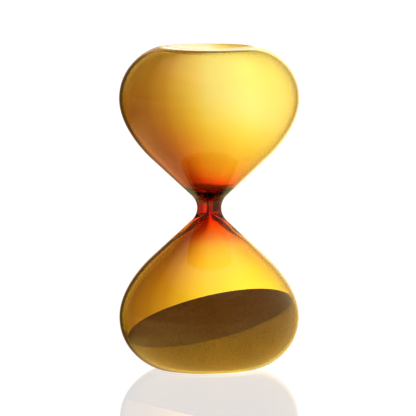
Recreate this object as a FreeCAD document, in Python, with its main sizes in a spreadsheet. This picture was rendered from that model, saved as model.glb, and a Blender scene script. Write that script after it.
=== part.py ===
import FreeCAD, Part
import math
import os
import Sketcher
from FreeCAD import Placement, Rotation, Vector

# A frameless hourglass: two blown glass bulbs welded to a thick waist, a shallow
# dished disc welded into the mouth of each bulb, and a bed of loose sand below.
#
# Frame: millimetres, +Z up, origin at the centre of the foot ring, on the ground.
# Every glass piece is drawn in a frame of its own, with its zero at the middle of
# the waist and its Z axis towards the end that the piece closes. The pieces of the
# lower half are the same drawings, turned over about the X axis.

SIZES = [
    ("height", 150.0, "overall height"),
    ("body_d", 83.8, "largest outside diameter of a bulb"),
    ("foot_d", 45.0, "outside diameter of the flat foot ring"),
    ("wall", 1.3, "glass thickness of bulbs and discs"),
    ("land_w", 2.0, "width of the flat foot ring"),
    ("belly_drop", 24.0, "distance of the widest place from the end of the glass"),
    ("belly_fullness", 16.4, "how far the belly runs straight on from its widest place"),
    ("rim_fullness", 4.65, "how far the end runs flat outside the foot ring"),
    ("waist_d", 11.3, "outside diameter of the waist"),
    ("waist_r", 7.9, "outline radius at the waist"),
    ("cone_angle", 47.2, "angle between the cone's wall and the axis, degrees"),
    ("cone_len", 23.4, "height of the cone's far end above the middle of the waist"),
    ("cone_pull", 3.4, "how far the shoulder runs straight on from the cone"),
    ("shoulder_pull", 13.2, "how far the shoulder runs straight before the widest place"),
    ("waist_len", 34.0, "length of the waist piece between its two welds"),
    ("orifice_d", 1.5, "bore that the sand runs through"),
    ("throat_d", 2.1, "wide end of each tapered throat"),
    ("bowl_throat", 3.8, "length of the upper throat"),
    ("horn_throat", 2.5, "length of the lower throat"),
    ("bowl_wall", 6.0, "height of the plain wall between the upper funnel and its weld"),
    ("bowl_pull", 3.7, "how far the upper funnel runs straight on from the throat"),
    ("bowl_reach", 6.2, "how far the upper funnel runs straight before the plain wall"),
    ("horn_wall", 1.0, "height of the plain wall between the lower funnel and its weld"),
    ("horn_pull", 3.0, "how far the lower funnel runs straight on from the throat"),
    ("horn_reach", 8.5, "how far the lower funnel runs straight before the plain wall"),
    ("dish_depth", 1.5, "depth of the dish in an end disc"),
    ("fill_hole_d", 5.0, "hole in the base disc that the sand is filled through"),
    ("seal_dome", 0.8, "height of the domed end of the fill hole's seal"),
    ("sand_gap", 0.3, "clearance between sand and glass"),
    ("sand_level", 24.0, "height of the sand's surface above the ground, at the axis"),
    ("sand_slope", 15.7, "slope of the sand's surface, degrees"),
    ("sand_heading", 30.0, "direction that the sand rises towards, degrees from +X"),
]

GROUND = -1         # Sketcher's own id of a sketch's horizontal axis and of its origin
UPRIGHT = -2        # Sketcher's own id of a sketch's upright axis
ORIGIN = (GROUND, 1)
START, END, CENTRE = 1, 2, 3
TINY = 1e-6

doc = FreeCAD.newDocument("hourglass")


def make_sheet():
    """Write the driving sizes to a spreadsheet, one named row each."""
    table = doc.addObject("Spreadsheet::Sheet", "Sizes")
    for row, (name, value, meaning) in enumerate(SIZES, start=1):
        table.set(f"A{row}", meaning)
        table.set(f"B{row}", str(value))
        table.setAlias(f"B{row}", name)
    doc.recompute()
    return table


sheet = make_sheet()


def size(name):
    """Return one size of the sheet."""
    return float(sheet.get(name))


# ---------------------------------------------------------------------------
# The bulb's outline, as numbers: where each sketch starts before it is solved
# ---------------------------------------------------------------------------

class BulbCurve:
    """Points of the bulb's outline, set in from the outside by an inset.

    A cone's line leaves the waist's arc. A shoulder curve takes it to the widest
    place, and a belly curve takes that to the flat ring at the end.
    """

    def __init__(self, inset):
        heading = math.radians(size("cone_angle"))
        self.run = Vector(math.sin(heading), math.cos(heading))
        side = Vector(self.run.y, -self.run.x)
        self.waist_centre = Vector(size("waist_d") / 2 + size("waist_r"), 0)
        self.waist_end = self.waist_centre - side * (size("waist_r") + inset)
        self.cone_start = self.cone_point(size("waist_len") / 2)
        outer_end = self.waist_centre - side * size("waist_r")
        outer_end += self.run * ((size("cone_len") - outer_end.y) / self.run.y)
        self.cone_end = outer_end - side * inset
        half = size("height") / 2
        self.widest = Vector(size("body_d") / 2 - inset, half - size("belly_drop"))
        self.rim_end = Vector(size("foot_d") / 2, half - inset)

    def cone_point(self, along):
        """Return the point of the cone's line at this distance from the waist."""
        return self.waist_end + self.run * ((along - self.waist_end.y) / self.run.y)


def handle(name, turn, inset):
    """Return a curve's handle, shorter for a wall's inner face: as on a round arc."""
    return size(name) - 4 / 3 * math.tan(math.radians(turn) / 4) * inset


def handle_formula(name, turn_formula, inset_formula):
    """Return the sheet formula of a curve's handle."""
    return f"Sizes.{name} - 4 / 3 * tan({turn_formula} * 1 deg / 4) * {inset_formula}"


# ---------------------------------------------------------------------------
# Sketch helpers
# ---------------------------------------------------------------------------

class Outline:
    """A sketch on a body's upright plane, drawn as lines, arcs and curves."""

    def __init__(self, body, name):
        self.sketch = body.newObject("Sketcher::SketchObject", name)
        self.sketch.AttachmentSupport = (origin_plane(body, "XZ_Plane"), [""])
        self.sketch.MapMode = "FlatFace"

    def line(self, start, end):
        """Add a line, and return its start and its end."""
        edge = self.sketch.addGeometry(Part.LineSegment(start, end), False)
        return (edge, START), (edge, END)

    def arc(self, centre, start, end):
        """Add an arc the short way round, and return its start and its end."""
        first, last = start - centre, end - centre
        forward = first.cross(last).z > 0
        if not forward:
            first, last = last, first
        circle = Part.Circle(centre, Vector(0, 0, 1), first.Length)
        from_angle = math.atan2(first.y, first.x)
        to_angle = math.atan2(last.y, last.x)
        if to_angle < from_angle:
            to_angle += 2 * math.pi
        edge = self.sketch.addGeometry(Part.ArcOfCircle(circle, from_angle, to_angle), False)
        ends = (edge, START), (edge, END)
        return ends if forward else (ends[1], ends[0])

    def curve(self, start, start_handle, end_handle, end):
        """Add a cubic curve, and return the places of its four control points."""
        shape = Part.BSplineCurve()
        shape.buildFromPolesMultsKnots([start, start_handle, end_handle, end],
                                       [4, 4], [0, 1], False, 3)
        edge = self.sketch.addGeometry(shape, False)
        self.sketch.exposeInternalGeometry(edge)
        return [(edge + pole, CENTRE) for pole in (1, 2, 3, 4)]

    def guide_circle(self, centre, radius):
        """Add a construction circle, and return its id."""
        circle = Part.Circle(centre, Vector(0, 0, 1), radius)
        return self.sketch.addGeometry(circle, True)

    def rule(self, kind, *places):
        """Add a constraint without a size between points or edges."""
        flat = []
        for place in places:
            flat.extend(place if isinstance(place, tuple) else (place,))
        return self.sketch.addConstraint(Sketcher.Constraint(kind, *flat))

    def join(self, *pairs):
        """Make each pair of points one point."""
        for first, second in pairs:
            self.rule("Coincident", first, second)

    def smooth(self, *pairs):
        """Make each pair of ends one point, where one edge runs on into the other."""
        for first, second in pairs:
            self.rule("Tangent", first, second)

    def on_axis(self, *points):
        """Keep points on the axis of the glass."""
        for point in points:
            self.rule("PointOnObject", point, UPRIGHT)

    def bind(self, constraint, name, formula):
        """Name a constraint and bind its size to the sheet."""
        self.sketch.renameConstraint(constraint, name)
        self.sketch.setExpression(f"Constraints.{name}", formula)

    def across(self, point, name, formula, value):
        """Set a point's distance from the axis."""
        rule = Sketcher.Constraint("DistanceX", *ORIGIN, *point, value)
        self.bind(self.sketch.addConstraint(rule), name, formula)

    def along(self, point, name, formula, value):
        """Set a point's distance from the middle of the waist."""
        rule = Sketcher.Constraint("DistanceY", *ORIGIN, *point, value)
        self.bind(self.sketch.addConstraint(rule), name, formula)

    def away(self, point, name, formula, value, sign):
        """Set a point's distance above the middle of the waist, or below it (sign -1)."""
        ends = (*ORIGIN, *point) if sign > 0 else (*point, *ORIGIN)
        rule = Sketcher.Constraint("DistanceY", *ends, value)
        self.bind(self.sketch.addConstraint(rule), name, formula)

    def apart(self, first, second, name, formula, value):
        """Set the distance between two points."""
        rule = Sketcher.Constraint("Distance", *first, *second, value)
        self.bind(self.sketch.addConstraint(rule), name, formula)

    def lean(self, edge, name, formula, degrees):
        """Set the angle between a line and the axis of the glass."""
        rule = Sketcher.Constraint("Angle", edge, math.radians(90 - degrees))
        self.bind(self.sketch.addConstraint(rule), name, f"(90 - {formula}) * 1 deg")

    def radius(self, edge, name, formula, value):
        """Set the radius of an arc or a circle."""
        rule = Sketcher.Constraint("Radius", edge, value)
        self.bind(self.sketch.addConstraint(rule), name, formula)

    def measure_across(self, point, name, value):
        """Add a driven size that other sketches can read: a distance from the axis."""
        rule = Sketcher.Constraint("DistanceX", *ORIGIN, *point, value)
        constraint = self.sketch.addConstraint(rule)
        self.sketch.setDriving(constraint, False)
        self.sketch.renameConstraint(constraint, name)


def origin_plane(body, role):
    """Return one of a body's own origin planes."""
    return [item for item in body.Origin.OriginFeatures if item.Role == role][0]


def new_body(label, turned_over=False, heading=0.0):
    """Start a body at the middle of the waist, turned over for the lower half."""
    body = doc.addObject("PartDesign::Body", label)
    body.Label = label
    over = Rotation(Vector(1, 0, 0), 180 if turned_over else 0)
    round_axis = Rotation(Vector(0, 0, 1), heading)
    body.Placement = Placement(Vector(0, 0, size("height") / 2), round_axis * over)
    body.setExpression("Placement.Base.z", "Sizes.height / 2")
    return body


def revolve(body, outline):
    """Turn a body's outline about the axis of the glass."""
    turned = body.newObject("PartDesign::Revolution", body.Label + "_turned")
    turned.Profile = outline.sketch
    turned.ReferenceAxis = (outline.sketch, ["V_Axis"])
    turned.Angle = 360
    outline.sketch.Visibility = False
    doc.recompute()
    return turned


def draw_bulb_curve(outline, inset, inset_formula, tag):
    """Draw cone, shoulder and belly, and return where the curve starts and ends."""
    curve = BulbCurve(inset)
    turn = size("cone_angle")
    turn_formula = "Sizes.cone_angle"
    cone_pull = handle("cone_pull", turn, inset)
    shoulder_pull = handle("shoulder_pull", turn, inset)
    belly_pull = handle("belly_fullness", 90, inset)
    rim_pull = handle("rim_fullness", 90, inset)
    cone = outline.line(curve.cone_start, curve.cone_end)
    shoulder = outline.curve(curve.cone_end, curve.cone_end + curve.run * cone_pull,
                             curve.widest - Vector(0, shoulder_pull), curve.widest)
    belly = outline.curve(curve.widest, curve.widest + Vector(0, belly_pull),
                          curve.rim_end + Vector(rim_pull, 0), curve.rim_end)
    waist = outline.guide_circle(curve.waist_centre, size("waist_r") + inset)
    cone_edge = cone[0][0]

    outline.join((cone[1], shoulder[0]), (shoulder[3], belly[0]))
    outline.rule("PointOnObject", (waist, CENTRE), GROUND)
    outline.rule("Tangent", cone_edge, waist)
    outline.rule("PointOnObject", shoulder[1], cone_edge)
    outline.rule("Vertical", shoulder[2], shoulder[3])
    outline.rule("Vertical", belly[0], belly[1])
    outline.rule("Horizontal", belly[2], belly[3])

    outline.radius(waist, f"waist_{tag}", f"Sizes.waist_r + {inset_formula}",
                   size("waist_r") + inset)
    outline.across((waist, CENTRE), f"waist_across_{tag}",
                   "Sizes.waist_d / 2 + Sizes.waist_r", curve.waist_centre.x)
    outline.lean(cone_edge, f"cone_lean_{tag}", turn_formula, turn)
    outline.along(cone[0], f"weld_{tag}", "Sizes.waist_len / 2", curve.cone_start.y)
    outline.along(cone[1], f"cone_end_{tag}",
                  f"Sizes.cone_len + {inset_formula} * sin({turn_formula} * 1 deg)",
                  curve.cone_end.y)
    outline.across(shoulder[3], f"widest_{tag}", f"Sizes.body_d / 2 - {inset_formula}",
                   curve.widest.x)
    outline.along(shoulder[3], f"widest_along_{tag}", "Sizes.height / 2 - Sizes.belly_drop",
                  curve.widest.y)
    outline.across(belly[3], f"foot_{tag}", "Sizes.foot_d / 2", curve.rim_end.x)
    outline.along(belly[3], f"end_{tag}", f"Sizes.height / 2 - {inset_formula}",
                  curve.rim_end.y)
    outline.apart(shoulder[0], shoulder[1], f"cone_pull_{tag}",
                  handle_formula("cone_pull", turn_formula, inset_formula), cone_pull)
    outline.apart(shoulder[2], shoulder[3], f"shoulder_pull_{tag}",
                  handle_formula("shoulder_pull", turn_formula, inset_formula), shoulder_pull)
    outline.apart(belly[0], belly[1], f"belly_pull_{tag}",
                  handle_formula("belly_fullness", "90", inset_formula), belly_pull)
    outline.apart(belly[2], belly[3], f"rim_pull_{tag}",
                  handle_formula("rim_fullness", "90", inset_formula), rim_pull)
    return cone[0], belly[3], curve


def draw_face_arc(outline, rim_across, rim_along, centre_along):
    """Draw a dished face from its edge to the axis, its centre on the axis."""
    depth = rim_along - centre_along
    radius = (rim_across ** 2 + depth ** 2) / (2 * depth)
    face = outline.arc(Vector(0, centre_along + radius), Vector(rim_across, rim_along),
                       Vector(0, centre_along))
    outline.on_axis(face[1], (face[0][0], CENTRE))
    return face


# ---------------------------------------------------------------------------
# The glass
# ---------------------------------------------------------------------------

def make_bulb(label, turned_over):
    """Blown bulb from its weld at the waist to its mouth, open at both ends."""
    body = new_body(label, turned_over)
    outline = Outline(body, label + "_outline")
    wall = size("wall")
    outer_start, outer_end, outer = draw_bulb_curve(outline, 0.0, "0", "outer")
    inner_start, inner_end, inner = draw_bulb_curve(outline, wall, "Sizes.wall", "inner")
    mouth = size("foot_d") / 2 - size("land_w")

    land = outline.line(outer.rim_end, Vector(mouth, outer.rim_end.y))
    edge = outline.line(Vector(mouth, outer.rim_end.y), Vector(mouth, inner.rim_end.y))
    inner_land = outline.line(Vector(mouth, inner.rim_end.y), inner.rim_end)
    weld = outline.line(inner.cone_start, outer.cone_start)
    outline.join((outer_end, land[0]), (land[1], edge[0]), (edge[1], inner_land[0]),
                 (inner_land[1], inner_end), (inner_start, weld[0]), (weld[1], outer_start))
    outline.rule("Horizontal", land[0][0])
    outline.rule("Vertical", edge[0][0])
    outline.rule("Horizontal", inner_land[0][0])
    outline.across(land[1], "mouth", "Sizes.foot_d / 2 - Sizes.land_w", mouth)
    outline.measure_across(outer_start, "weld_outer_r", outer.cone_start.x)
    outline.measure_across(inner_start, "weld_inner_r", inner.cone_start.x)
    revolve(body, outline)
    return body


def flipped(point, sign):
    """Return a point of the upper half as it is (sign 1), or its twin below (sign -1)."""
    return Vector(point.x, sign * point.y)


def draw_waist_side(outline, bulb, name, sign):
    """Draw one side of the waist: throat, funnel, plain wall, weld and outer cone.

    Returns the throat's start in the middle of the waist and the outer cone's end.
    """
    outer = BulbCurve(0.0)
    inner = BulbCurve(size("wall"))
    orifice = Vector(size("orifice_d") / 2, 0)
    throat_end = Vector(size("throat_d") / 2, size(f"{name}_throat"))
    taper = (throat_end - orifice).normalize()
    rim_along = size("waist_len") / 2 - size(f"{name}_wall")
    rim = inner.cone_point(rim_along)
    pull, reach = size(f"{name}_pull"), size(f"{name}_reach")
    corners = [flipped(point, sign) for point in (
        orifice, throat_end, throat_end + taper * pull, rim - inner.run * reach, rim,
        inner.cone_start, outer.cone_start, outer.waist_end)]

    throat = outline.line(corners[0], corners[1])
    funnel = outline.curve(*corners[1:5])
    plain = outline.line(corners[4], corners[5])
    weld = outline.line(corners[5], corners[6])
    cone = outline.line(corners[6], corners[7])

    outline.join((throat[1], funnel[0]), (funnel[3], plain[0]), (plain[1], weld[0]),
                 (weld[1], cone[0]))
    outline.rule("PointOnObject", funnel[1], throat[0][0])
    outline.rule("PointOnObject", funnel[2], plain[0][0])
    outline.rule("Parallel", plain[0][0], cone[0][0])
    outline.rule("Horizontal", weld[0][0])
    outline.across(throat[1], f"{name}_throat_across", "Sizes.throat_d / 2", throat_end.x)
    outline.away(throat[1], f"{name}_throat_end", f"Sizes.{name}_throat", throat_end.y, sign)
    outline.away(plain[0], f"{name}_rim", f"Sizes.waist_len / 2 - Sizes.{name}_wall",
                 rim_along, sign)
    outline.away(weld[0], f"{name}_weld", "Sizes.waist_len / 2", inner.cone_start.y, sign)
    outline.across(weld[0], f"{name}_weld_inner",
                   f"{bulb.Label}_outline.Constraints.weld_inner_r", inner.cone_start.x)
    outline.across(weld[1], f"{name}_weld_outer",
                   f"{bulb.Label}_outline.Constraints.weld_outer_r", outer.cone_start.x)
    outline.apart(funnel[0], funnel[1], f"{name}_pull_size", f"Sizes.{name}_pull", pull)
    outline.apart(funnel[2], funnel[3], f"{name}_reach_size", f"Sizes.{name}_reach", reach)
    return throat[0], cone[1]


def make_waist(label, bulb):
    """Thick waist with the orifice, and a tapered throat and a funnel at each side."""
    body = new_body(label)
    outline = Outline(body, label + "_outline")
    outer = BulbCurve(0.0)
    upper_start, upper_cone = draw_waist_side(outline, bulb, "bowl", 1)
    lower_start, lower_cone = draw_waist_side(outline, bulb, "horn", -1)
    flank = outline.arc(outer.waist_centre, outer.waist_end, flipped(outer.waist_end, -1))

    outline.join((upper_start, lower_start))
    outline.rule("PointOnObject", upper_start, GROUND)
    outline.across(upper_start, "orifice_across", "Sizes.orifice_d / 2", size("orifice_d") / 2)
    outline.smooth((upper_cone, flank[0]), (lower_cone, flank[1]))
    outline.rule("PointOnObject", (flank[0][0], CENTRE), GROUND)
    outline.radius(flank[0][0], "flank_r", "Sizes.waist_r", size("waist_r"))
    outline.across((flank[0][0], CENTRE), "flank_across", "Sizes.waist_d / 2 + Sizes.waist_r",
                   outer.waist_centre.x)
    revolve(body, outline)
    return body


def make_disc(label, turned_over):
    """Dished disc that closes a bulb's mouth, welded in at its edge."""
    body = new_body(label, turned_over)
    outline = Outline(body, label + "_outline")
    mouth = size("foot_d") / 2 - size("land_w")
    top = size("height") / 2
    outer = draw_face_arc(outline, mouth, top, top - size("dish_depth"))
    inner = draw_face_arc(outline, mouth, top - size("wall"),
                          top - size("dish_depth") - size("wall"))
    edge = outline.line(Vector(mouth, top), Vector(mouth, top - size("wall")))
    axis = outline.line(Vector(0, top - size("dish_depth")),
                        Vector(0, top - size("dish_depth") - size("wall")))
    outline.join((outer[0], edge[0]), (edge[1], inner[0]), (outer[1], axis[0]),
                 (inner[1], axis[1]))
    outline.rule("Vertical", edge[0][0])
    outline.across(edge[0], "mouth", "Sizes.foot_d / 2 - Sizes.land_w", mouth)
    outline.along(edge[0], "outer_edge", "Sizes.height / 2", top)
    outline.along(edge[1], "inner_edge", "Sizes.height / 2 - Sizes.wall", top - size("wall"))
    outline.along(axis[0], "outer_centre", "Sizes.height / 2 - Sizes.dish_depth",
                  top - size("dish_depth"))
    outline.along(axis[1], "inner_centre", "Sizes.height / 2 - Sizes.dish_depth - Sizes.wall",
                  top - size("dish_depth") - size("wall"))
    revolve(body, outline)
    return body


def drill_fill_hole(body):
    """Cut the fill hole through the middle of a disc."""
    circle = body.newObject("Sketcher::SketchObject", "fill_hole_circle")
    circle.AttachmentSupport = (origin_plane(body, "XY_Plane"), [""])
    circle.MapMode = "FlatFace"
    hole_r = size("fill_hole_d") / 2
    edge = circle.addGeometry(Part.Circle(Vector(0, 0), Vector(0, 0, 1), hole_r), False)
    circle.addConstraint(Sketcher.Constraint("Coincident", edge, CENTRE, *ORIGIN))
    bore = circle.addConstraint(Sketcher.Constraint("Radius", edge, hole_r))
    circle.renameConstraint(bore, "bore")
    circle.setExpression("Constraints.bore", "Sizes.fill_hole_d / 2")
    solid_volume = body.Shape.Volume
    hole = body.newObject("PartDesign::Pocket", "fill_hole")
    hole.Profile = circle
    hole.Type = "ThroughAll"
    hole.Reversed = True
    circle.Visibility = False
    doc.recompute()
    if body.Shape.Volume > solid_volume - TINY:
        raise RuntimeError("the fill hole cut nothing")


def make_seal(label):
    """Glass plug melted into the fill hole, with a low dome inside the dish."""
    body = new_body(label, turned_over=True)
    outline = Outline(body, label + "_outline")
    hole_r = size("fill_hole_d") / 2
    outer = size("height") / 2 - size("dish_depth")
    inner = outer - size("wall")
    dome = size("seal_dome")
    dome_r = (hole_r ** 2 + dome ** 2) / (2 * dome)

    flat = outline.line(Vector(0, inner), Vector(hole_r, inner))
    shank = outline.line(Vector(hole_r, inner), Vector(hole_r, outer))
    cap = outline.arc(Vector(0, outer + dome - dome_r), Vector(hole_r, outer),
                      Vector(0, outer + dome))
    axis = outline.line(Vector(0, outer + dome), Vector(0, inner))
    outline.join((flat[1], shank[0]), (shank[1], cap[0]), (cap[1], axis[0]), (axis[1], flat[0]))
    outline.on_axis(flat[0], cap[1], (cap[0][0], CENTRE))
    outline.rule("Horizontal", flat[0][0])
    outline.rule("Vertical", shank[0][0])
    outline.across(shank[0], "shank", "Sizes.fill_hole_d / 2", hole_r)
    outline.along(shank[0], "inner_end", "Sizes.height / 2 - Sizes.dish_depth - Sizes.wall",
                  inner)
    outline.along(shank[1], "outer_end", "Sizes.height / 2 - Sizes.dish_depth", outer)
    outline.along(cap[1], "dome_top",
                  "Sizes.height / 2 - Sizes.dish_depth + Sizes.seal_dome", outer + dome)
    revolve(body, outline)
    return body


# ---------------------------------------------------------------------------
# The sand
# ---------------------------------------------------------------------------

def make_sand(label):
    """Bed of loose sand: the lower bulb's hollow, cut off by a sloping surface."""
    body = new_body(label, turned_over=True, heading=size("sand_heading"))
    body.setExpression("Placement.Rotation.Yaw", "Sizes.sand_heading * 1 deg")
    outline = Outline(body, label + "_outline")
    inset = size("wall") + size("sand_gap")
    inset_formula = "(Sizes.wall + Sizes.sand_gap)"
    start, end, curve = draw_bulb_curve(outline, inset, inset_formula, "sand")
    floor_centre = curve.rim_end.y - size("dish_depth")

    lid = outline.line(Vector(0, curve.cone_start.y), curve.cone_start)
    floor = draw_face_arc(outline, curve.rim_end.x, curve.rim_end.y, floor_centre)
    axis = outline.line(Vector(0, floor_centre), Vector(0, curve.cone_start.y))
    outline.join((lid[1], start), (end, floor[0]), (floor[1], axis[0]), (axis[1], lid[0]))
    outline.on_axis(lid[0])
    outline.rule("Horizontal", lid[0][0])
    outline.along(floor[1], "floor_centre",
                  "Sizes.height / 2 - Sizes.dish_depth - Sizes.wall - Sizes.sand_gap",
                  floor_centre)
    revolve(body, outline)
    cut_surface(body)
    return body


def cut_surface(body):
    """Cut away everything above the sand's sloping surface."""
    outline = Outline(body, "sand_surface")
    reach = size("body_d")
    surface = size("height") / 2 - size("sand_level")
    rise = reach * math.tan(math.radians(size("sand_slope")))
    surface_formula = "Sizes.height / 2 - Sizes.sand_level"
    rise_formula = "Sizes.body_d * tan(Sizes.sand_slope * 1 deg)"
    low = Vector(-reach, surface + rise)
    high = Vector(reach, surface - rise)

    slope = outline.line(low, high)
    side = outline.line(high, Vector(reach, -reach))
    back = outline.line(Vector(reach, -reach), Vector(-reach, -reach))
    front = outline.line(Vector(-reach, -reach), low)
    outline.join((slope[1], side[0]), (side[1], back[0]), (back[1], front[0]),
                 (front[1], slope[0]))
    outline.rule("Vertical", side[0][0])
    outline.rule("Vertical", front[0][0])
    outline.across(side[0], "reach", "Sizes.body_d", reach)
    outline.rule("Symmetric", back[0], back[1], UPRIGHT)
    beyond = Sketcher.Constraint("DistanceY", *back[0], *ORIGIN, reach)
    outline.bind(outline.sketch.addConstraint(beyond), "beyond", "Sizes.body_d")
    outline.along(side[0], "high_side", f"{surface_formula} - {rise_formula}", high.y)
    outline.along(front[1], "low_side", f"{surface_formula} + {rise_formula}", low.y)
    full_volume = body.Shape.Volume
    cut = body.newObject("PartDesign::Pocket", "above_sand")
    cut.Profile = outline.sketch
    cut.Type = "ThroughAll"
    cut.Midplane = True
    outline.sketch.Visibility = False
    doc.recompute()
    if body.Shape.Volume > full_volume - TINY:
        raise RuntimeError("the sand's surface cut nothing")


# ---------------------------------------------------------------------------
# Build, check and export
# ---------------------------------------------------------------------------

def build():
    """Make every piece, and return the bodies."""
    lower_bulb = make_bulb("lower_bulb", turned_over=True)
    upper_bulb = make_bulb("upper_bulb", turned_over=False)
    waist = make_waist("waist", upper_bulb)
    base_disc = make_disc("base_disc", turned_over=True)
    drill_fill_hole(base_disc)
    top_disc = make_disc("top_disc", turned_over=False)
    fill_seal = make_seal("fill_seal")
    sand_bed = make_sand("sand_bed")
    return [lower_bulb, waist, upper_bulb, base_disc, top_disc, fill_seal, sand_bed]


def check(bodies):
    """Stop if an object failed, a sketch is loose or a piece is not one valid solid."""
    for item in doc.Objects:
        if "Invalid" in item.State or "Error" in item.State:
            raise RuntimeError(f"{item.Name} failed: {item.State}")
        if item.TypeId == "Sketcher::SketchObject" and not item.FullyConstrained:
            raise RuntimeError(f"{item.Name} is not fully constrained")
    for body in bodies:
        shape = body.Shape
        if shape.isNull() or not shape.isValid() or len(shape.Solids) != 1:
            raise RuntimeError(f"{body.Label} is not one valid solid")


def export(bodies):
    """Write each piece to its own file, and print its box and volume."""
    os.makedirs("parts", exist_ok=True)
    for body in bodies:
        body.Shape.exportStep(f"parts/{body.Label}.step")
        box = body.Shape.BoundBox
        print(f"{body.Label}: x {box.XMin:.2f} to {box.XMax:.2f}, z {box.ZMin:.2f} to "
              f"{box.ZMax:.2f}, {body.Shape.Volume / 1000:.2f} cm3")


pieces = build()
doc.recompute()
check(pieces)
export(pieces)
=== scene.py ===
"""Looks of a frameless amber hourglass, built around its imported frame.

The blown glass is one continuous envelope with its hollow inside, as the real glass is
melted together. The sand is a bed with a sloping surface and a scatter of loose grains.
"""
import logging
import math
import random
from dataclasses import dataclass
from enum import Enum

import bmesh
import bpy
from mathutils import Euler, Matrix, Vector, noise
from mathutils.geometry import interpolate_bezier


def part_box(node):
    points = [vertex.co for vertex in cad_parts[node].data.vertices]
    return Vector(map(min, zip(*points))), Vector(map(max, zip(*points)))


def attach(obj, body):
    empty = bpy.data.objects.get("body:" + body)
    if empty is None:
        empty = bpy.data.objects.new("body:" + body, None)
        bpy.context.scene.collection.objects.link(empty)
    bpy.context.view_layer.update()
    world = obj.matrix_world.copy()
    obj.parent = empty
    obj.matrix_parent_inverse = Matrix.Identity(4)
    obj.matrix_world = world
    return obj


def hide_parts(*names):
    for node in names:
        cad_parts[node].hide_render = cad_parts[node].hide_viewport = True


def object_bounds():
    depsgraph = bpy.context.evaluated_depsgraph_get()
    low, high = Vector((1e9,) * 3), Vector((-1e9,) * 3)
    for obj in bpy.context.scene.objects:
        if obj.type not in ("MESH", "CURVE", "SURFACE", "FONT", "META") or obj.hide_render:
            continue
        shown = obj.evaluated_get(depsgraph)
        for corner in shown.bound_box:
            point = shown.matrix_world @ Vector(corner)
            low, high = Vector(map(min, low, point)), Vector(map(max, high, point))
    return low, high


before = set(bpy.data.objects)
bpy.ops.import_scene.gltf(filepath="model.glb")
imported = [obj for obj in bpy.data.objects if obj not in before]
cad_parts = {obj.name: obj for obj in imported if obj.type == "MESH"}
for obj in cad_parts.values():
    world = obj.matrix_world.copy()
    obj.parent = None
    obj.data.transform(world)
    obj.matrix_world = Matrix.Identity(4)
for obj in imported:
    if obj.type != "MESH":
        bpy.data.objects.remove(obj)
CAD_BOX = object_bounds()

log = logging.getLogger("hourglass")

MM = 0.001
WELD_GAP = 1e-7
NOISE_LOW, NOISE_HIGH = 0.3, 0.7

Socket = bpy.types.NodeSocket
Colour = tuple[float, float, float]
Scale = tuple[float, float, float]
Span = tuple[float, float]
Stops = tuple[tuple[float, Colour], ...]


class Body(Enum):
    """Bodies of the frame that a piece can ride on."""

    GLASS = "glass"
    SAND = "sand"


class Slot(Enum):
    """Material slots of the record."""

    AMBER = "amber_glass"
    SAND = "sand"


# ---------------------------------------------------------------------------
# Node helpers
# ---------------------------------------------------------------------------

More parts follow.
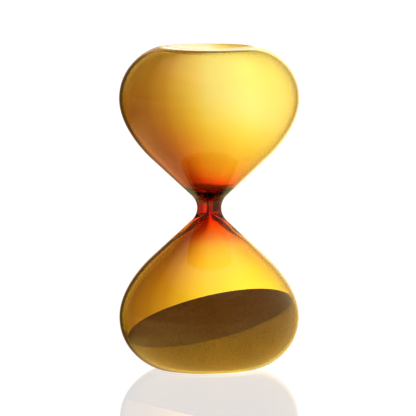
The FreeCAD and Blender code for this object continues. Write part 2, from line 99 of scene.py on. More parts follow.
@dataclass
class NodeBench:
    """A node tree with short calls to add nodes and join them."""

    tree: bpy.types.NodeTree

    def add(self, kind: str, **values: object) -> bpy.types.Node:
        """Add a node and set its properties.

        Args:
            kind: The node's type name.
            **values: Properties of the node, by name.

        Returns:
            The new node.
        """
        node = self.tree.nodes.new(kind)
        for name, value in values.items():
            setattr(node, name, value)
        return node

    def join(self, source: Socket, target: Socket) -> None:
        """Join an output socket to an input socket."""
        self.tree.links.new(source, target)

    def finish(self, **sockets: Socket) -> None:
        """Add the material's output node.

        Args:
            **sockets: What its inputs, such as Surface, read.
        """
        output = self.add("ShaderNodeOutputMaterial")
        for name, socket in sockets.items():
            self.join(socket, output.inputs[name])

    def math(self, operation: str, first: object, second: object = 0.0) -> Socket:
        """Add a Math node.

        Args:
            operation: The node's operation.
            first: A number, or a socket to read.
            second: A number, or a socket to read.

        Returns:
            The node's result socket.
        """
        node = self.add("ShaderNodeMath", operation=operation)
        for place, value in enumerate((first, second)):
            if isinstance(value, Socket):
                self.join(value, node.inputs[place])
            else:
                node.inputs[place].default_value = value
        return node.outputs["Value"]

    def noise(self, place: Socket, scale: float, detail: float = 2.0) -> Socket:
        """Add a Noise Texture.

        Args:
            place: The coordinates to read.
            scale: Features per metre.
            detail: Octaves of finer noise.

        Returns:
            The noise's factor socket.
        """
        node = self.add("ShaderNodeTexNoise")
        node.inputs["Scale"].default_value = scale
        node.inputs["Detail"].default_value = detail
        self.join(place, node.inputs["Vector"])
        return node.outputs["Factor" if "Factor" in node.outputs else "Fac"]

    def stretch(self, place: Socket, scale: Scale) -> Socket:
        """Scale coordinates by axis.

        Args:
            place: The coordinates to read.
            scale: The factor for each axis.

        Returns:
            The new coordinates' socket.
        """
        node = self.add("ShaderNodeMapping", vector_type="POINT")
        node.inputs["Scale"].default_value = scale
        self.join(place, node.inputs["Vector"])
        return node.outputs["Vector"]

    def ramp(self, factor: Socket, stops: Stops) -> Socket:
        """Add a colour ramp.

        Args:
            factor: The socket that picks a colour.
            stops: Places from 0 to 1 with their colours, lowest first.

        Returns:
            The ramp's colour socket.
        """
        node = self.add("ShaderNodeValToRGB")
        band = node.color_ramp
        band.interpolation = "LINEAR"
        band.elements[0].position, band.elements[1].position = stops[0][0], stops[-1][0]
        for place, _ in stops[1:-1]:
            band.elements.new(place)
        for element, (_, colour) in zip(band.elements, stops):
            element.color = (*colour, 1.0)
        self.join(factor, node.inputs["Fac"])
        return node.outputs["Color"]

    def range(self, value: Socket, low: float, high: float,
              to_low: float = 0.0, to_high: float = 1.0) -> Socket:
        """Map a value's range onto another one, clamped.

        Args:
            value: The socket to read.
            low: The value that becomes to_low.
            high: The value that becomes to_high, which may be below low.
            to_low: The result at low.
            to_high: The result at high.

        Returns:
            The result socket.
        """
        node = self.add("ShaderNodeMapRange")
        for name, number in zip(("From Min", "From Max", "To Min", "To Max"),
                                (low, high, to_low, to_high)):
            node.inputs[name].default_value = number
        self.join(value, node.inputs["Value"])
        return node.outputs["Result"]

    def mix(self, factor: object, first: object, second: object, blend: str = "MIX") -> Socket:
        """Mix two colours.

        Args:
            factor: A number or a socket.
            first: A colour or a socket.
            second: A colour or a socket.
            blend: The blend type.

        Returns:
            The mixed colour's socket.
        """
        node = self.add("ShaderNodeMix", data_type="RGBA", blend_type=blend)
        for socket, value in ((node.inputs[0], factor), (node.inputs[6], first),
                              (node.inputs[7], second)):
            if isinstance(value, Socket):
                self.join(value, socket)
            elif isinstance(value, tuple):
                socket.default_value = (*value, 1.0)
            else:
                socket.default_value = value
        return node.outputs[2]

    def grey(self, value: Socket) -> Socket:
        """Turn a value into a grey.

        Args:
            value: The socket that all three channels read.

        Returns:
            The grey's colour socket.
        """
        node = self.add("ShaderNodeCombineColor")
        for name in ("Red", "Green", "Blue"):
            self.join(value, node.inputs[name])
        return node.outputs["Color"]

    def bump(self, height: Socket, strength: float, distance: float) -> Socket:
        """Add a Bump node.

        Args:
            height: The height to read.
            strength: How much of the bump shows, from 0 to 1.
            distance: The height of a full step, in metres.

        Returns:
            The bumped normal's socket.
        """
        node = self.add("ShaderNodeBump")
        node.inputs["Strength"].default_value = strength
        node.inputs["Distance"].default_value = distance
        self.join(height, node.inputs["Height"])
        return node.outputs["Normal"]


def new_material(name: str) -> tuple[bpy.types.Material, NodeBench]:
    """Make an empty node material.

    Args:
        name: The material's name.

    Returns:
        The material and a bench on its node tree.
    """
    material = bpy.data.materials.new(name)
    material.use_nodes = True
    material.node_tree.nodes.clear()
    return material, NodeBench(material.node_tree)


# ---------------------------------------------------------------------------
# Finishes
# ---------------------------------------------------------------------------

@dataclass(frozen=True)
class AmberGlass:
    """Clear amber glass that turns red where the neck was worked longest in the flame.

    The tints' stops go from the middle of the neck, at 0, to its reach, at 1; the upper tint's dark
    band just above the throat is partly the thick glass there and partly painted shade. The colour of
    the upper bulb leans: at one height it is nearer to red on the left than on the right, which is
    painted shade standing in for uneven light.
    Lengths are metres.
    """

    middle: float
    ior: float = 1.47
    soaks_up: Colour = (0.966, 0.840, 0.04)
    density: float = 640.0
    reach: float = 0.075
    # The upper tint's dark stops from 0.078 to 0.124 make a dark band just above the throat: partly
    # the thick glass there, partly painted shade.
    upper_tint_with_painted_band: Stops = (
        (0.0, (0.62, 0.03, 0.03)), (0.06, (0.60, 0.04, 0.03)), (0.078, (0.14, 0.03, 0.03)),
        (0.124, (0.16, 0.04, 0.03)), (0.134, (0.84, 0.12, 0.07)), (0.17, (0.89, 0.34, 0.16)),
        (0.22, (0.88, 0.49, 0.20)), (0.29, (0.87, 0.59, 0.23)), (0.38, (0.87, 0.69, 0.28)),
        (0.48, (0.90, 0.80, 0.44)), (0.58, (0.93, 0.89, 0.68)), (0.70, (0.96, 0.95, 1.0)),
        (1.0, (0.97, 1.0, 1.0)))
    lower_tint: Stops = (
        (0.0, (0.68, 0.03, 0.03)), (0.07, (0.90, 0.18, 0.16)), (0.12, (0.92, 0.38, 0.38)),
        (0.18, (0.94, 0.56, 0.50)), (0.23, (0.97, 0.76, 0.54)), (0.35, (0.99, 0.87, 0.46)),
        (0.6, (1.0, 0.96, 0.42)), (1.0, (1.0, 0.97, 0.42)))
    # Painted shade: the lean shifts the upper bulb's colour along X, redder on the left, standing in
    # for uneven light.
    painted_shade_lean: float = 0.45
    painted_shade_starts: float = 0.009
    painted_shade_is_full: float = 0.022
    wander: float = 0.004
    wander_scale: float = 60.0
    wave_scale: float = 16.0
    wave_stretch: Scale = (1.0, 1.0, 0.45)
    wave_height: float = 0.0006
    streak: float = 0.10
    streak_scale: Scale = (26.0, 26.0, 9.0)

    def tint(self, bench: NodeBench, place: Socket) -> Socket:
        """Colour the glass by its distance from the middle of the neck, with painted shade that leans
        the upper bulb's colour along X.

        Args:
            bench: The material's bench.
            place: The piece's coordinates.

        Returns:
            The colour socket.
        """
        parts = bench.add("ShaderNodeSeparateXYZ")
        bench.join(place, parts.inputs["Vector"])
        height = bench.math("SUBTRACT", parts.outputs["Z"], self.middle)
        wander = bench.math("SUBTRACT", bench.noise(place, self.wander_scale), 0.5)
        height = bench.math("ADD", height, bench.math("MULTIPLY", wander, self.wander))
        # Painted shade: shift the upper bulb's colour along X, redder on the left, for uneven light.
        painted_shade_lean = bench.math("MULTIPLY", parts.outputs["X"], self.painted_shade_lean)
        painted_shade_share = bench.range(height, self.painted_shade_starts, self.painted_shade_is_full)
        height_with_painted_shade = bench.math("ADD", height, bench.math("MULTIPLY", painted_shade_lean, painted_shade_share))
        upper = bench.ramp(bench.range(height_with_painted_shade, 0.0, self.reach), self.upper_tint_with_painted_band)
        lower = bench.ramp(bench.range(height, 0.0, -self.reach), self.lower_tint)
        return bench.mix(bench.math("GREATER_THAN", height, 0.0), lower, upper)

    def material(self) -> bpy.types.Material:
        """Build the material.

        Returns:
            The glass material.
        """
        material, bench = new_material("amber_glass")
        place = bench.add("ShaderNodeTexCoord").outputs["Object"]
        streaks = bench.noise(bench.stretch(place, self.streak_scale), 1.0, 1.0)
        shade = bench.range(streaks, NOISE_LOW, NOISE_HIGH, 1.0 - self.streak, 1.0)
        tint = bench.mix(1.0, self.tint(bench, place), bench.grey(shade), "MULTIPLY")
        waves = bench.noise(bench.stretch(place, self.wave_stretch), self.wave_scale, 0.0)
        shader = bench.add("ShaderNodeBsdfPrincipled")
        shader.inputs["Roughness"].default_value = 0.0
        shader.inputs["IOR"].default_value = self.ior
        shader.inputs["Transmission Weight"].default_value = 1.0
        bench.join(tint, shader.inputs["Base Color"])
        bench.join(bench.bump(waves, 1.0, self.wave_height), shader.inputs["Normal"])
        inside = bench.add("ShaderNodeVolumeAbsorption")
        inside.inputs["Color"].default_value = (*self.soaks_up, 1.0)
        inside.inputs["Density"].default_value = self.density
        bench.finish(Surface=shader.outputs["BSDF"], Volume=inside.outputs["Volume"])
        return material


@dataclass(frozen=True)
class DrySand:
    """Fine dry sand: pale and deep grains with a few dark ones, rough and matt.

    The shares say which part of the grains, sorted by chance, has which colour.
    """

    name: str
    pale: Colour = (0.70, 0.55, 0.38)
    deep: Colour = (0.46, 0.32, 0.19)
    dark: Colour = (0.20, 0.13, 0.08)
    deep_from: float = 0.10
    deep_to: float = 0.45
    pale_from: float = 0.8
    grain: float = 2600.0
    patch: float = 90.0
    patch_shade: float = 0.86
    bump_strength: float = 0.6
    bump_height: float = 0.00022
    roughness: float = 0.92
    specular: float = 0.25

    def material(self) -> bpy.types.Material:
        """Build the material.

        Returns:
            The sand material.
        """
        material, bench = new_material(self.name)
        place = bench.add("ShaderNodeTexCoord").outputs["Object"]
        cells = bench.add("ShaderNodeTexVoronoi")
        cells.inputs["Scale"].default_value = self.grain
        bench.join(place, cells.inputs["Vector"])
        pick = bench.add("ShaderNodeSeparateColor")
        bench.join(cells.outputs["Color"], pick.inputs["Color"])
        colour = bench.ramp(pick.outputs["Red"], (
            (0.0, self.dark), (self.deep_from, self.deep), (self.deep_to, self.deep),
            (self.pale_from, self.pale), (1.0, self.pale)))
        patches = bench.noise(place, self.patch, 3.0)
        shade = bench.range(patches, NOISE_LOW, NOISE_HIGH, self.patch_shade, 1.0)
        colour = bench.mix(1.0, colour, bench.grey(shade), "MULTIPLY")
        rise = bench.math("SUBTRACT", 1.0, cells.outputs["Distance"])
        shader = bench.add("ShaderNodeBsdfPrincipled")
        shader.inputs["Roughness"].default_value = self.roughness
        shader.inputs["Specular IOR Level"].default_value = self.specular
        bench.join(colour, shader.inputs["Base Color"])
        bench.join(bench.bump(rise, self.bump_strength, self.bump_height), shader.inputs["Normal"])
        bench.finish(Surface=shader.outputs["BSDF"])
        return material


# ---------------------------------------------------------------------------
# Mesh helpers
# ---------------------------------------------------------------------------

def arc_points(centre: Vector, start: Vector, end: Vector, count: int) -> list[Vector]:
    """Lay points along the short arc from start to end, both ends included.

    Args:
        centre: The arc's centre.
        start: First point.
        end: Last point.
        count: How many points.

    Returns:
        The points, evenly spaced.
    """
    first = math.atan2(start.y - centre.y, start.x - centre.x)
    turn = math.atan2(end.y - centre.y, end.x - centre.x) - first
    turn = (turn + math.pi) % (2 * math.pi) - math.pi
    radius = (start - centre).length
    return [centre + radius * Vector((math.cos(first + turn * i / (count - 1)),
                                      math.sin(first + turn * i / (count - 1))))
            for i in range(count)]


def line_points(start: Vector, end: Vector, count: int) -> list[Vector]:
    """Return evenly spaced points from start to end, both ends included."""
    return [start.lerp(end, i / (count - 1)) for i in range(count)]


def curve_points(points: list[Vector], count: int) -> list[Vector]:
    """Return points on the cubic curve through four control points."""
    return [p.to_2d() for p in interpolate_bezier(*[p.to_3d() for p in points], count)]


def spun(points: list[Vector], steps: int, inwards: bool = False) -> bmesh.types.BMesh:
    """Spin a line of (radius, height) points round the upright axis.

    Args:
        points: The line's points, in metres.
        steps: Faces round the full turn.
        inwards: True for a hollow, whose faces look at the axis.

    Returns:
        A new mesh with its seam and poles closed and its faces turned the right way.
    """
    mesh = bmesh.new()
    verts = [mesh.verts.new((p.x, 0.0, p.y)) for p in points]
    edges = [mesh.edges.new(pair) for pair in zip(verts, verts[1:])]
    bmesh.ops.spin(mesh, geom=verts + edges, cent=(0, 0, 0), axis=(0, 0, 1),
                   angle=2 * math.pi, steps=steps, use_merge=True)
    bmesh.ops.remove_doubles(mesh, verts=mesh.verts, dist=WELD_GAP)
    bmesh.ops.recalc_face_normals(mesh, faces=mesh.faces)
    if inwards:
        bmesh.ops.reverse_faces(mesh, faces=mesh.faces)
    return mesh


def add_mesh(target: bmesh.types.BMesh, part: bmesh.types.BMesh) -> None:
    """Add a part's faces to a mesh.

    Args:
        target: The mesh that grows.
        part: The mesh to add, which is freed.
    """
    data = bpy.data.meshes.new("part")
    part.to_mesh(data)
    part.free()
    target.from_mesh(data)
    bpy.data.meshes.remove(data)


def finish_mesh(mesh: bmesh.types.BMesh, name: str, material: bpy.types.Material) -> bpy.types.Object:
    """Turn a bmesh into a smooth shaded object at the origin.

    Args:
        mesh: The finished bmesh, which is freed.
        name: The piece's name.
        material: Its material.

    Returns:
        The new object.
    """
    data = bpy.data.meshes.new(name)
    mesh.to_mesh(data)
    mesh.free()
    data.shade_smooth()
    data.materials.append(material)
    piece = bpy.data.objects.new(name, data)
    bpy.context.scene.collection.objects.link(piece)
    return piece


# ---------------------------------------------------------------------------
# The glass
# ---------------------------------------------------------------------------

@dataclass
class BulbOutline:
    """One bulb's outline from the waist to its end. Lengths are millimetres.

    Points are (distance from the axis, distance from the middle of the neck).
    """

    half_height: float
    body_radius: float
    foot_radius: float = 22.5
    land_width: float = 2.0
    wall: float = 1.3
    belly_drop: float = 24.0
    belly_fullness: float = 16.4
    rim_fullness: float = 4.65
    waist_radius: float = 5.65
    waist_bend: float = 7.9
    cone_angle: float = 47.2
    cone_length: float = 23.4
    cone_pull: float = 3.4
    shoulder_pull: float = 13.2
    dish_depth: float = 1.5

    @property
    def run(self) -> Vector:
        """Direction of the cone's wall, away from the waist."""
        heading = math.radians(self.cone_angle)
        return Vector((math.sin(heading), math.cos(heading)))

    @property
    def side(self) -> Vector:
        """Direction square to the cone's wall, outwards."""
        return Vector((self.run.y, -self.run.x))

    @property
    def bend_centre(self) -> Vector:
        """Centre of the waist's outside bend."""
        return Vector((self.waist_radius + self.waist_bend, 0.0))

    @property
    def cone_start(self) -> Vector:
        """Where the outside leaves the waist's bend for the cone."""
        return self.bend_centre - self.side * self.waist_bend

    def pulled(self, pull: float, turn: float, inset: float) -> float:
        """Return a curve's handle, shorter on a wall's inner face as on a round arc."""
        return pull - 4 / 3 * math.tan(math.radians(turn) / 4) * inset

    def bulb(self, inset: float, count: int) -> list[Vector]:
        """Draw the bulb from the cone's end to the flat ring.

        Args:
            inset: How far inside the outer face.
            count: Points on each of the two curves.

        Returns:
            The curve's points.
        """
        start = self.cone_start
        cone_end = start + self.run * ((self.cone_length - start.y) / self.run.y) - self.side * inset
        widest = Vector((self.body_radius - inset, self.half_height - self.belly_drop))
        rim = Vector((self.foot_radius, self.half_height - inset))
        shoulder = [cone_end,
                    cone_end + self.run * self.pulled(self.cone_pull, self.cone_angle, inset),
                    widest - Vector((0, self.pulled(self.shoulder_pull, self.cone_angle, inset))),
                    widest]
        belly = [widest,
                 widest + Vector((0, self.pulled(self.belly_fullness, 90, inset))),
                 rim + Vector((self.pulled(self.rim_fullness, 90, inset), 0)),
                 rim]
        return curve_points(shoulder, count)[:-1] + curve_points(belly, count)

    def dish(self, mouth: float, rim: float, count: int) -> list[Vector]:
        """Draw the dished end from its edge to the axis.

        Args:
            mouth: Radius of the dish's edge.
            rim: Height of the dish's edge.
            count: How many points.

        Returns:
            The dish's points, the last on the axis.
        """
        radius = (mouth ** 2 + self.dish_depth ** 2) / (2 * self.dish_depth)
        centre = Vector((0.0, rim - self.dish_depth + radius))
        return arc_points(centre, Vector((mouth, rim)), Vector((0.0, rim - self.dish_depth)), count)


@dataclass(frozen=True)
class Funnel:
    """How one side of the neck opens from its narrow throat to the cone.

    Lengths are millimetres. The end is the height above or below the middle where the funnel
    meets the cone's wall, and the pulls say how far its curve runs straight at each end.
    """

    end: float
    throat_pull: float
    cone_pull: float
    throat_radius: float = 1.05
    throat_length: float = 3.8


@dataclass(frozen=True)
class Fineness:
    """How many points each stretch of the glass gets."""

    bend: int = 16
    cone: int = 12
    throat: int = 8
    funnel: int = 30
    plain_wall: int = 8
    ring: int = 4
    seal: int = 9
    outer_bulb: int = 34
    inner_bulb: int = 30
    outer_dish: int = 26
    inner_dish: int = 22
    around: int = 192


@dataclass
class GlassEnvelope:
    """The whole blown glass: two bulbs, the neck and the end dishes. Lengths are millimetres."""

    outline: BulbOutline
    finish: AmberGlass
    orifice: float = 0.75
    above: Funnel = Funnel(end=11.0, throat_pull=4.6, cone_pull=6.2)
    below: Funnel = Funnel(end=16.0, throat_pull=3.0, cone_pull=8.5, throat_length=2.5)
    rim_round: float = 0.35
    rim_corner: Span = (0.3, 0.12)
    seal_radius: float = 2.5
    seal_dome: float = 0.8
    seal_margin: float = 1.15
    fine: Fineness = Fineness()

    @property
    def mouth(self) -> float:
        """Radius of the dish inside the flat ring."""
        return self.outline.foot_radius - self.outline.land_width

    def neck_outside(self) -> list[Vector]:
        """Draw the outside of half the neck.

        Returns:
            The points from the middle of the neck to the bulb, without the bulb's first.
        """
        shape = self.outline
        middle = Vector((shape.waist_radius, 0.0))
        bend = arc_points(shape.bend_centre, middle, shape.cone_start, self.fine.bend)
        cone = line_points(shape.cone_start, shape.bulb(0.0, 2)[0], self.fine.cone)
        return bend[:-1] + cone[:-1]

    def neck_inside(self, side: Funnel) -> list[Vector]:
        """Draw the inside of half the neck: throat, funnel and plain wall.

        Args:
            side: The funnel on this side of the middle.

        Returns:
            The points from the orifice to the bulb, without the bulb's first.
        """
        shape = self.outline
        wall_foot = shape.cone_start - shape.side * shape.wall
        meets_cone = wall_foot + shape.run * ((side.end - wall_foot.y) / shape.run.y)
        orifice = Vector((self.orifice, 0.0))
        throat_end = Vector((side.throat_radius, side.throat_length))
        funnel = [throat_end,
                  throat_end + (throat_end - orifice).normalized() * side.throat_pull,
                  meets_cone - shape.run * side.cone_pull,
                  meets_cone]
        return (line_points(orifice, throat_end, self.fine.throat)[:-1]
                + curve_points(funnel, self.fine.funnel)[:-1]
                + line_points(meets_cone, shape.bulb(shape.wall, 2)[0], self.fine.plain_wall)[:-1])

    def end_outside(self) -> list[Vector]:
        """Draw the flat ring, its rounded inner edge and the dish.

        Returns:
            The points from the bulb, without the bulb's last, to the axis.
        """
        top = self.outline.half_height
        across, down = self.rim_corner
        ring = line_points(Vector((self.outline.foot_radius, top)),
                           Vector((self.mouth + self.rim_round, top)), self.fine.ring)
        corner = Vector((self.mouth + across * self.rim_round, top - down * self.rim_round))
        dish = self.outline.dish(self.mouth, top, self.fine.outer_dish)
        return ring[1:] + [corner] + dish[1:]

    def end_inside(self) -> list[Vector]:
        """Draw the inside of the dished end, from the bulb to the axis."""
        shape = self.outline
        return shape.dish(self.mouth, shape.half_height - shape.wall, self.fine.inner_dish)

    def with_seal(self, end: list[Vector]) -> list[Vector]:
        """Put the melted button of the filling hole on an outer end's axis.

        Args:
            end: The end's points, the last on the axis.

        Returns:
            The end's points up to the seal, then the seal's.
        """
        base = end[-1].y
        kept = [p for p in end if p.x > self.seal_radius * self.seal_margin]
        turns = [math.pi / 2 * (1 - i / (self.fine.seal - 1)) for i in range(self.fine.seal)]
        return kept + [Vector((self.seal_radius * math.sin(turn),
                               base + self.seal_dome * math.cos(turn))) for turn in turns]

    def place(self, points: list[Vector], sign: int) -> list[Vector]:
        """Put points in metres above the middle of the neck (sign 1) or below it (sign -1)."""
        middle = self.outline.half_height
        return [Vector((max(p.x, 0.0) * MM, (middle + sign * p.y) * MM)) for p in points]

    def outside(self) -> list[Vector]:
        """Draw the outer face's line.

        Returns:
            The points from the base's axis to the crown's axis, in metres.
        """
        half = self.neck_outside() + self.outline.bulb(0.0, self.fine.outer_bulb)
        top = half + self.end_outside()
        foot = half + self.with_seal(self.end_outside())
        return self.place(foot, -1)[::-1] + self.place(top, 1)[1:]

    def inside(self) -> list[Vector]:
        """Draw the hollow's line.

        Returns:
            The points from the base's axis to the crown's axis, in metres.
        """
        bulb = self.outline.bulb(self.outline.wall, self.fine.inner_bulb) + self.end_inside()
        lower = self.place(self.neck_inside(self.below) + bulb, -1)
        upper = self.place(self.neck_inside(self.above) + bulb, 1)
        return lower[::-1] + upper[1:]

    def build(self) -> bpy.types.Object:
        """Build the envelope.

        Returns:
            The glass object, its hollow's faces turned into the hollow.
        """
        mesh = spun(self.outside(), self.fine.around)
        add_mesh(mesh, spun(self.inside(), self.fine.around, inwards=True))
        return finish_mesh(mesh, "glass_envelope", self.finish.material())

    def dress(self, piece: bpy.types.Object) -> None:
        """Tell the frame what the envelope stands for and rides on.

        Args:
            piece: The finished envelope.
        """
        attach(piece, Body.GLASS.value)
        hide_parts("lower_bulb", "waist", "upper_bulb", "base_disc", "top_disc", "fill_seal")


# ---------------------------------------------------------------------------
# The sand
# ---------------------------------------------------------------------------

@dataclass(frozen=True)
class Relief:
    """The uneven surface of the sand. Heights are millimetres, scales are waves per metre."""

    swell: float = 0.55
    broad_scale: float = 38.0
    fine_scale: float = 190.0
    fine_share: float = 0.16
    fine_offset: int = 3
    calm_edge: float = 5.0


@dataclass(frozen=True)
class Scatter:
    """The loose grains on the sand.

    The size is millimetres. The sizes, widths and heights that a grain may have, how far it is
    raised and how far it stays off the glass are shares of its size.
    """

    count: int = 1500
    size: float = 0.17
    sizes: Span = (0.6, 1.5)
    widths: Span = (0.7, 1.0)
    heights: Span = (0.6, 0.9)
    raised: float = 0.25
    off_glass: float = 3.0
    facing_up: float = 0.9


@dataclass
class SandBed:
    """The bed of sand in the lower bulb. Lengths are millimetres, angles are degrees."""

    outline: BulbOutline
    # The side gets the sand painted lighter as lit; the top and the loose grains get copies of it
    # painted darker and redder as shade.
    finish: DrySand
    shaded_top_finish: DrySand
    shaded_grain_finish: DrySand
    clearance: float = 0.3
    level: float = 23.7
    slope: float = 15.7
    heading: float = 30.0
    uneven: Relief = Relief()
    scatter: Scatter = Scatter()
    rings: int = 64
    steps: int = 192
    side_points: int = 30
    floor_points: int = 16
    seed: int = 7

    @property
    def inset(self) -> float:
        """How far the sand's side is inside the glass's outer face."""
        return self.outline.wall + self.clearance

    @property
    def centre(self) -> Vector:
        """Middle of the sloping surface, in metres."""
        return Vector((0.0, 0.0, self.level * MM))

    @property
    def tilt(self) -> Matrix:
        """Turn from a level surface to the sloping one."""
        return (Matrix.Rotation(math.radians(self.heading), 3, "Z")
                @ Matrix.Rotation(-math.radians(self.slope), 3, "Y"))

    @property
    def up(self) -> Vector:
        """Direction square to the sloping surface."""
        return self.tilt @ Vector((0, 0, 1))

    def bowl(self) -> list[Vector]:
        """Draw the sand's side and floor.

        Returns:
            The points from the shoulder to the axis, in metres.
        """
        shape = self.outline
        side = shape.bulb(self.inset, self.side_points)
        floor = shape.dish(shape.foot_radius, shape.half_height - self.inset, self.floor_points)
        return [Vector((max(p.x, 0.0) * MM, (shape.half_height - p.y) * MM))
                for p in side + floor[1:]]

    def relief(self, spot: Vector, inward: float) -> float:
        """Work out how far the surface is raised at a spot.

        Args:
            spot: A point of the level surface, in metres.
            inward: 0 at the glass and 1 at the middle.

        Returns:
            The height to add, in metres.
        """
        wave = self.uneven
        calm = min(1.0, inward * wave.calm_edge)
        broad = noise.noise(Vector((spot.x * wave.broad_scale, spot.y * wave.broad_scale,
                                    self.seed)))
        fine = noise.noise(Vector((spot.x * wave.fine_scale, spot.y * wave.fine_scale,
                                   self.seed + wave.fine_offset)))
        return (broad * wave.swell + fine * wave.swell * wave.fine_share) * calm * MM

    def cover(self, mesh: bmesh.types.BMesh) -> None:
        """Close the cut bowl with rings of faces that shrink to the middle of the surface.

        Args:
            mesh: The bowl, open where the sloping surface cuts it.
        """
        rim = [edge for edge in mesh.edges if edge.is_boundary]
        middle = sum((v.co for edge in rim for v in edge.verts), Vector()) / (2 * len(rim))
        span = 1.0
        inner = []
        for ring in range(1, self.rings):
            wanted = 1.0 - ring / self.rings
            grown = bmesh.ops.extrude_edge_only(mesh, edges=rim)["geom"]
            verts = [g for g in grown if isinstance(g, bmesh.types.BMVert)]
            rim = [g for g in grown if isinstance(g, bmesh.types.BMEdge) and g.is_boundary]
            bmesh.ops.scale(mesh, vec=[wanted / span] * 3, space=Matrix.Translation(-middle),
                            verts=verts)
            span = wanted
            inner.append((wanted, verts))
        for wanted, verts in inner:
            for vert in verts:
                vert.co.z += self.relief(vert.co, 1.0 - wanted)
        middle.z += self.relief(middle, 1.0)
        bmesh.ops.pointmerge(mesh, verts=list({v for e in rim for v in e.verts}), merge_co=middle)

    def build_bed(self) -> bpy.types.Object:
        """Build the bed.

        Returns:
            The closed bed with its sloping surface.
        """
        mesh = spun(self.bowl(), self.steps)
        everything = list(mesh.verts) + list(mesh.edges) + list(mesh.faces)
        bmesh.ops.bisect_plane(mesh, geom=everything, dist=WELD_GAP, plane_co=self.centre,
                               plane_no=self.up, clear_outer=True)
        side = set(mesh.faces)
        self.cover(mesh)
        bmesh.ops.recalc_face_normals(mesh, faces=mesh.faces)
        # The side faces take the lit copy of the sand and the top faces the copy painted darker as
        # shade.
        for face in mesh.faces:
            face.material_index = 0 if face in side else 1
        bed = finish_mesh(mesh, "sand_bed_heap", self.finish.material())
        bed.data.materials.append(self.shaded_top_finish.material())
        return bed

    def build_grains(self, bed: bpy.types.Object) -> bpy.types.Object:
        """Scatter loose grains over the sloping surface.

        Args:
            bed: The finished bed, whose surface the grains lie on.

        Returns:
            The grains as one piece.
        """
        draw = random.Random(self.seed)
        template = bmesh.new()
        bmesh.ops.create_icosphere(template, subdivisions=1, radius=1.0)
        grain = bpy.data.meshes.new("grain")
        template.to_mesh(grain)
        template.free()
        mesh = bmesh.new()
        reach = self.outline.body_radius * MM
        rule = self.scatter
        made = 0
        while made < rule.count:
            x, y = draw.uniform(-reach, reach), draw.uniform(-reach, reach)
            hit, spot, normal, _ = bed.ray_cast(Vector((x, y, 3 * reach)), Vector((0, 0, -1)))
            if not hit or normal.dot(self.up) < rule.facing_up:
                continue
            size = rule.size * MM * draw.uniform(*rule.sizes)
            if Vector((spot.x, spot.y)).length > self.reach_at(spot.z) - rule.off_glass * size:
                continue
            turn = Euler([draw.uniform(0, math.tau) for _ in range(3)]).to_matrix().to_4x4()
            squash = Matrix.Diagonal((size, size * draw.uniform(*rule.widths),
                                      size * draw.uniform(*rule.heights), 1.0))
            place = Matrix.Translation(spot + normal * size * rule.raised) @ turn @ squash
            grain.transform(place)
            mesh.from_mesh(grain)
            grain.transform(place.inverted())
            made += 1
        bpy.data.meshes.remove(grain)
        return finish_mesh(mesh, "loose_grains", self.shaded_grain_finish.material())

    def reach_at(self, height: float) -> float:
        """Find the bowl's radius at a height.

        Args:
            height: Height above the ground, in metres.

        Returns:
            The radius in metres, or 0 where the bowl doesn't reach.
        """
        line = self.bowl()
        for first, second in zip(line, line[1:]):
            if min(first.y, second.y) <= height <= max(first.y, second.y):
                share = (height - first.y) / ((second.y - first.y) or 1.0)
                return first.x + (second.x - first.x) * share
        return 0.0

    def dress(self, bed: bpy.types.Object, grains: bpy.types.Object) -> None:
        """Tell the frame what the bed stands for and what both pieces ride on.

        Args:
            bed: The finished bed.
            grains: The loose grains.
        """
        for piece in (bed, grains):
            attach(piece, Body.SAND.value)
        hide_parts("sand_bed")


# ---------------------------------------------------------------------------
# The studio
# ---------------------------------------------------------------------------

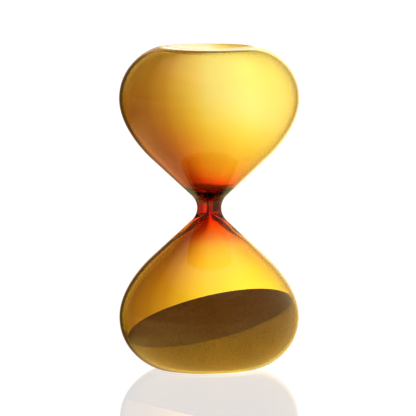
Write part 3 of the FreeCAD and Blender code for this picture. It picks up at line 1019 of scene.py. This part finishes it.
@dataclass
class Studio:
    """White floor, soft surrounding light and the camera. Lengths are metres.

    The light comes from a bright table below the horizon, a dim room above it and a soft lamp
    overhead. Ramps go round the full turn, with straight ahead in their middle, and the
    backdrop's ramp goes from the left edge of what lies straight ahead to its right edge.
    """

    target: Vector
    camera_side: float = -0.0006
    distance: float = 2.559
    camera_rise: float = 0.2743
    pitch: float = 0.10683
    lens: float = 478.7
    sensor: float = 36.0
    clip: Span = (0.05, 50.0)
    floor_radius: float = 0.45
    floor_sides: int = 128
    floor_drop: float = 0.0002
    floor_glow: float = 1.02
    floor_ior: float = 1.42
    floor_gloss: float = 0.7
    white: float = 1.05
    backdrop_half: float = math.radians(8.0)
    horizon: Span = (-0.01, 0.05)
    lift: float = 0.34
    lift_within: Span = (math.radians(12.0), math.radians(30.0))
    zenith: Span = (0.70, 1.0)
    lamp: Colour = (1.0, 0.93, 0.90)
    steep: Span = (-0.30, -0.55)
    near_table: Colour = (0.88, 0.68, 0.28)
    mirror_range: Span = (0.105, 0.155)
    backdrop: Stops = (
        (0.0, (0.66, 0.42, 0.22)), (0.20, (0.46, 0.22, 0.07)), (0.36, (0.54, 0.28, 0.085)),
        (0.42, (0.78, 0.45, 0.15)), (0.46, (1.14, 0.84, 0.38)), (0.478, (1.32, 1.06, 0.58)),
        (0.50, (1.38, 1.32, 1.10)), (0.53, (1.50, 1.45, 1.25)), (0.57, (1.70, 1.65, 1.45)),
        (0.75, (1.85, 1.72, 1.45)), (1.0, (1.90, 1.70, 1.20)))
    table: Stops = (
        (0.0, (0.36, 0.25, 0.15)), (0.14, (0.60, 0.47, 0.29)), (0.24, (0.56, 0.42, 0.24)),
        (0.38, (0.10, 0.06, 0.03)), (0.455, (0.10, 0.06, 0.03)), (0.468, (0.26, 0.15, 0.07)),
        (0.478, (0.66, 0.42, 0.22)), (0.522, (1.90, 1.70, 1.20)), (0.545, (1.40, 1.10, 0.60)),
        (0.575, (0.50, 0.34, 0.16)), (0.62, (0.80, 0.64, 0.42)), (0.87, (0.70, 0.56, 0.36)),
        (1.0, (0.36, 0.25, 0.15)))
    room: Stops = (
        (0.0, (0.20, 0.16, 0.12)), (0.16, (0.28, 0.24, 0.19)), (0.30, (0.14, 0.11, 0.08)),
        (0.46, (0.10, 0.08, 0.07)), (0.52, (0.35, 0.33, 0.30)), (0.60, (0.60, 0.53, 0.44)),
        (0.80, (0.45, 0.40, 0.34)), (1.0, (0.20, 0.16, 0.12)))
    overhead: Stops = (
        (0.0, (1.0, 1.0, 1.0)), (0.5, (0.8, 0.8, 0.8)), (1.0, (0.35, 0.35, 0.35)))

    def table_light(self, bench: NodeBench, azimuth: Socket, rise: Socket,
                    ahead: Socket) -> Socket:
        """Colour the table: by its direction, with a finer backdrop straight ahead.

        Args:
            bench: The world's bench.
            azimuth: The ray's angle from straight ahead, in radians.
            rise: The ray's upward share.
            ahead: 1 where the ray goes straight ahead.

        Returns:
            The table's colour socket.
        """
        around = bench.ramp(bench.range(azimuth, -math.pi, math.pi), self.table)
        across = bench.range(azimuth, -self.backdrop_half, self.backdrop_half)
        table = bench.mix(ahead, around, bench.ramp(across, self.backdrop))
        return bench.mix(bench.range(rise, *self.steep), table, self.near_table)

    def room_light(self, bench: NodeBench, azimuth: Socket, rise: Socket) -> Socket:
        """Colour the room above the table, which gets dimmer upwards.

        Args:
            bench: The world's bench.
            azimuth: The ray's angle from straight ahead, in radians.
            rise: The ray's upward share.

        Returns:
            The room's colour socket.
        """
        around = bench.ramp(bench.range(azimuth, -math.pi, math.pi), self.room)
        upwards = bench.ramp(bench.range(rise, 0.0, 1.0), self.overhead)
        return bench.mix(1.0, around, upwards, "MULTIPLY")

    def plain_white(self, bench: NodeBench, rise: Socket, ahead: Socket) -> Socket:
        """Pick the rays that see plain white: the camera's, and the floor's mirrored ones.

        Args:
            bench: The world's bench.
            rise: The ray's upward share.
            ahead: 1 where the ray goes straight ahead.

        Returns:
            A socket that is 1 for those rays and 0 for the rest.
        """
        rays = bench.add("ShaderNodeLightPath")
        open_air = bench.math("LESS_THAN", rays.outputs["Transmission Depth"], 0.5)
        low, high = self.mirror_range
        in_range = bench.math("MULTIPLY", bench.math("GREATER_THAN", rise, low),
                              bench.math("LESS_THAN", rise, high))
        mirrored = bench.math("MULTIPLY", bench.math("MULTIPLY", open_air, ahead), in_range)
        return bench.math("MAXIMUM", rays.outputs["Is Camera Ray"], mirrored)

    def light(self) -> None:
        """Light the scene: table below the horizon, room above it, and the lamp overhead."""
        world = bpy.data.worlds.new("soft_room")
        bpy.context.scene.world = world
        world.use_nodes = True
        world.node_tree.nodes.clear()
        bench = NodeBench(world.node_tree)
        parts = bench.add("ShaderNodeSeparateXYZ")
        bench.join(bench.add("ShaderNodeTexCoord").outputs["Generated"], parts.inputs["Vector"])
        rise = parts.outputs["Z"]
        azimuth = bench.math("ARCTAN2", parts.outputs["X"], parts.outputs["Y"])
        aside = bench.math("ABSOLUTE", azimuth)
        ahead = bench.math("LESS_THAN", aside, self.backdrop_half)
        horizon = bench.range(aside, *self.lift_within, self.lift, 0.0)
        above = bench.range(bench.math("SUBTRACT", rise, horizon), *self.horizon)
        seen = bench.mix(above, self.table_light(bench, azimuth, rise, ahead),
                         self.room_light(bench, azimuth, rise))
        seen = bench.mix(bench.range(rise, *self.zenith), seen, self.lamp)
        colour = bench.mix(self.plain_white(bench, rise, ahead), seen, (self.white,) * 3)
        glow = bench.add("ShaderNodeBackground")
        bench.join(colour, glow.inputs["Color"])
        output = bench.add("ShaderNodeOutputWorld")
        bench.join(glow.outputs["Background"], output.inputs["Surface"])

    def floor(self) -> bpy.types.Object:
        """Lay the glossy white floor.

        Returns:
            The floor, which is part of the stage.
        """
        mesh = bmesh.new()
        bmesh.ops.create_circle(mesh, cap_ends=True, segments=self.floor_sides,
                                radius=self.floor_radius)
        material, bench = new_material("white_floor")
        glow = bench.add("ShaderNodeEmission")
        glow.inputs["Strength"].default_value = self.floor_glow
        gloss = bench.add("ShaderNodeBsdfGlossy")
        gloss.inputs["Roughness"].default_value = 0.0
        gloss.inputs["Color"].default_value = (1.0, 1.0, 1.0, 1.0)
        fresnel = bench.add("ShaderNodeFresnel")
        fresnel.inputs["IOR"].default_value = self.floor_ior
        share = bench.math("MULTIPLY", fresnel.outputs["Fac"], self.floor_gloss)
        both = bench.add("ShaderNodeMixShader")
        bench.join(share, both.inputs[0])
        bench.join(glow.outputs["Emission"], both.inputs[1])
        bench.join(gloss.outputs["BSDF"], both.inputs[2])
        bench.finish(Surface=both.outputs["Shader"])
        floor = finish_mesh(mesh, "studio_floor", material)
        floor.location.z = -self.floor_drop
        floor.visible_diffuse = floor.visible_glossy = False
        floor.visible_transmission = floor.visible_shadow = False
        return floor

    def camera(self) -> bpy.types.Object:
        """Set up the long lens camera, a little above the glass and looking down at it.

        Returns:
            The camera.
        """
        data = bpy.data.cameras.new("camera")
        data.sensor_width = self.sensor
        data.lens = self.lens
        data.clip_start, data.clip_end = self.clip
        camera = bpy.data.objects.new("camera", data)
        camera.location = self.target + Vector((self.camera_side, -self.distance, self.camera_rise))
        camera.rotation_euler = (math.pi / 2 - self.pitch, 0.0, 0.0)
        bpy.context.scene.collection.objects.link(camera)
        bpy.context.scene.camera = camera
        return camera


# ---------------------------------------------------------------------------
# Putting it together
# ---------------------------------------------------------------------------

def report(piece: bpy.types.Object) -> None:
    """Log a piece's name and size.

    Args:
        piece: The finished piece.
    """
    log.info("%s: %d faces, %s mm", piece.name, len(piece.data.polygons),
             " x ".join(f"{side / MM:.1f}" for side in piece.dimensions))


def main() -> None:
    """Build the pieces in order, dress them and set up the studio."""
    logging.basicConfig(level=logging.INFO, format="%(message)s")
    low, high = CAD_BOX
    bulb_low, bulb_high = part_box("upper_bulb")
    outline = BulbOutline(half_height=(high.z - low.z) / 2 / MM,
                          body_radius=(bulb_high.x - bulb_low.x) / 2 / MM)
    middle = (low.z + high.z) / 2
    envelope = GlassEnvelope(outline, AmberGlass(middle=middle))
    glass = envelope.build()
    envelope.dress(glass)
    report(glass)
    # Three copies of one sand: the top and the loose grains are painted darker and redder as shade,
    # the side lighter as lit.
    shaded_top_sand = DrySand("sand_top_painted_shade", pale=(0.66, 0.37, 0.30), deep=(0.50, 0.26, 0.20),
                       dark=(0.30, 0.15, 0.11))
    lit_side_sand = DrySand("sand_side_painted_light", pale=(0.84, 0.62, 0.22), deep=(0.70, 0.50, 0.16),
                        dark=(0.50, 0.33, 0.10))
    shaded_grain_sand = DrySand("sand_grain_painted_shade", pale=(0.62, 0.38, 0.24), deep=(0.40, 0.23, 0.13),
                         grain=900.0)
    sand = SandBed(outline, lit_side_sand, shaded_top_sand, shaded_grain_sand)
    bed = sand.build_bed()
    grains = sand.build_grains(bed)
    sand.dress(bed, grains)
    report(bed)
    report(grains)
    studio = Studio(target=Vector((0.0, 0.0, middle)))
    studio.light()
    studio.floor()
    studio.camera()
    bpy.context.scene.view_settings.view_transform = "Standard"


if __name__ == "__main__":
    main()
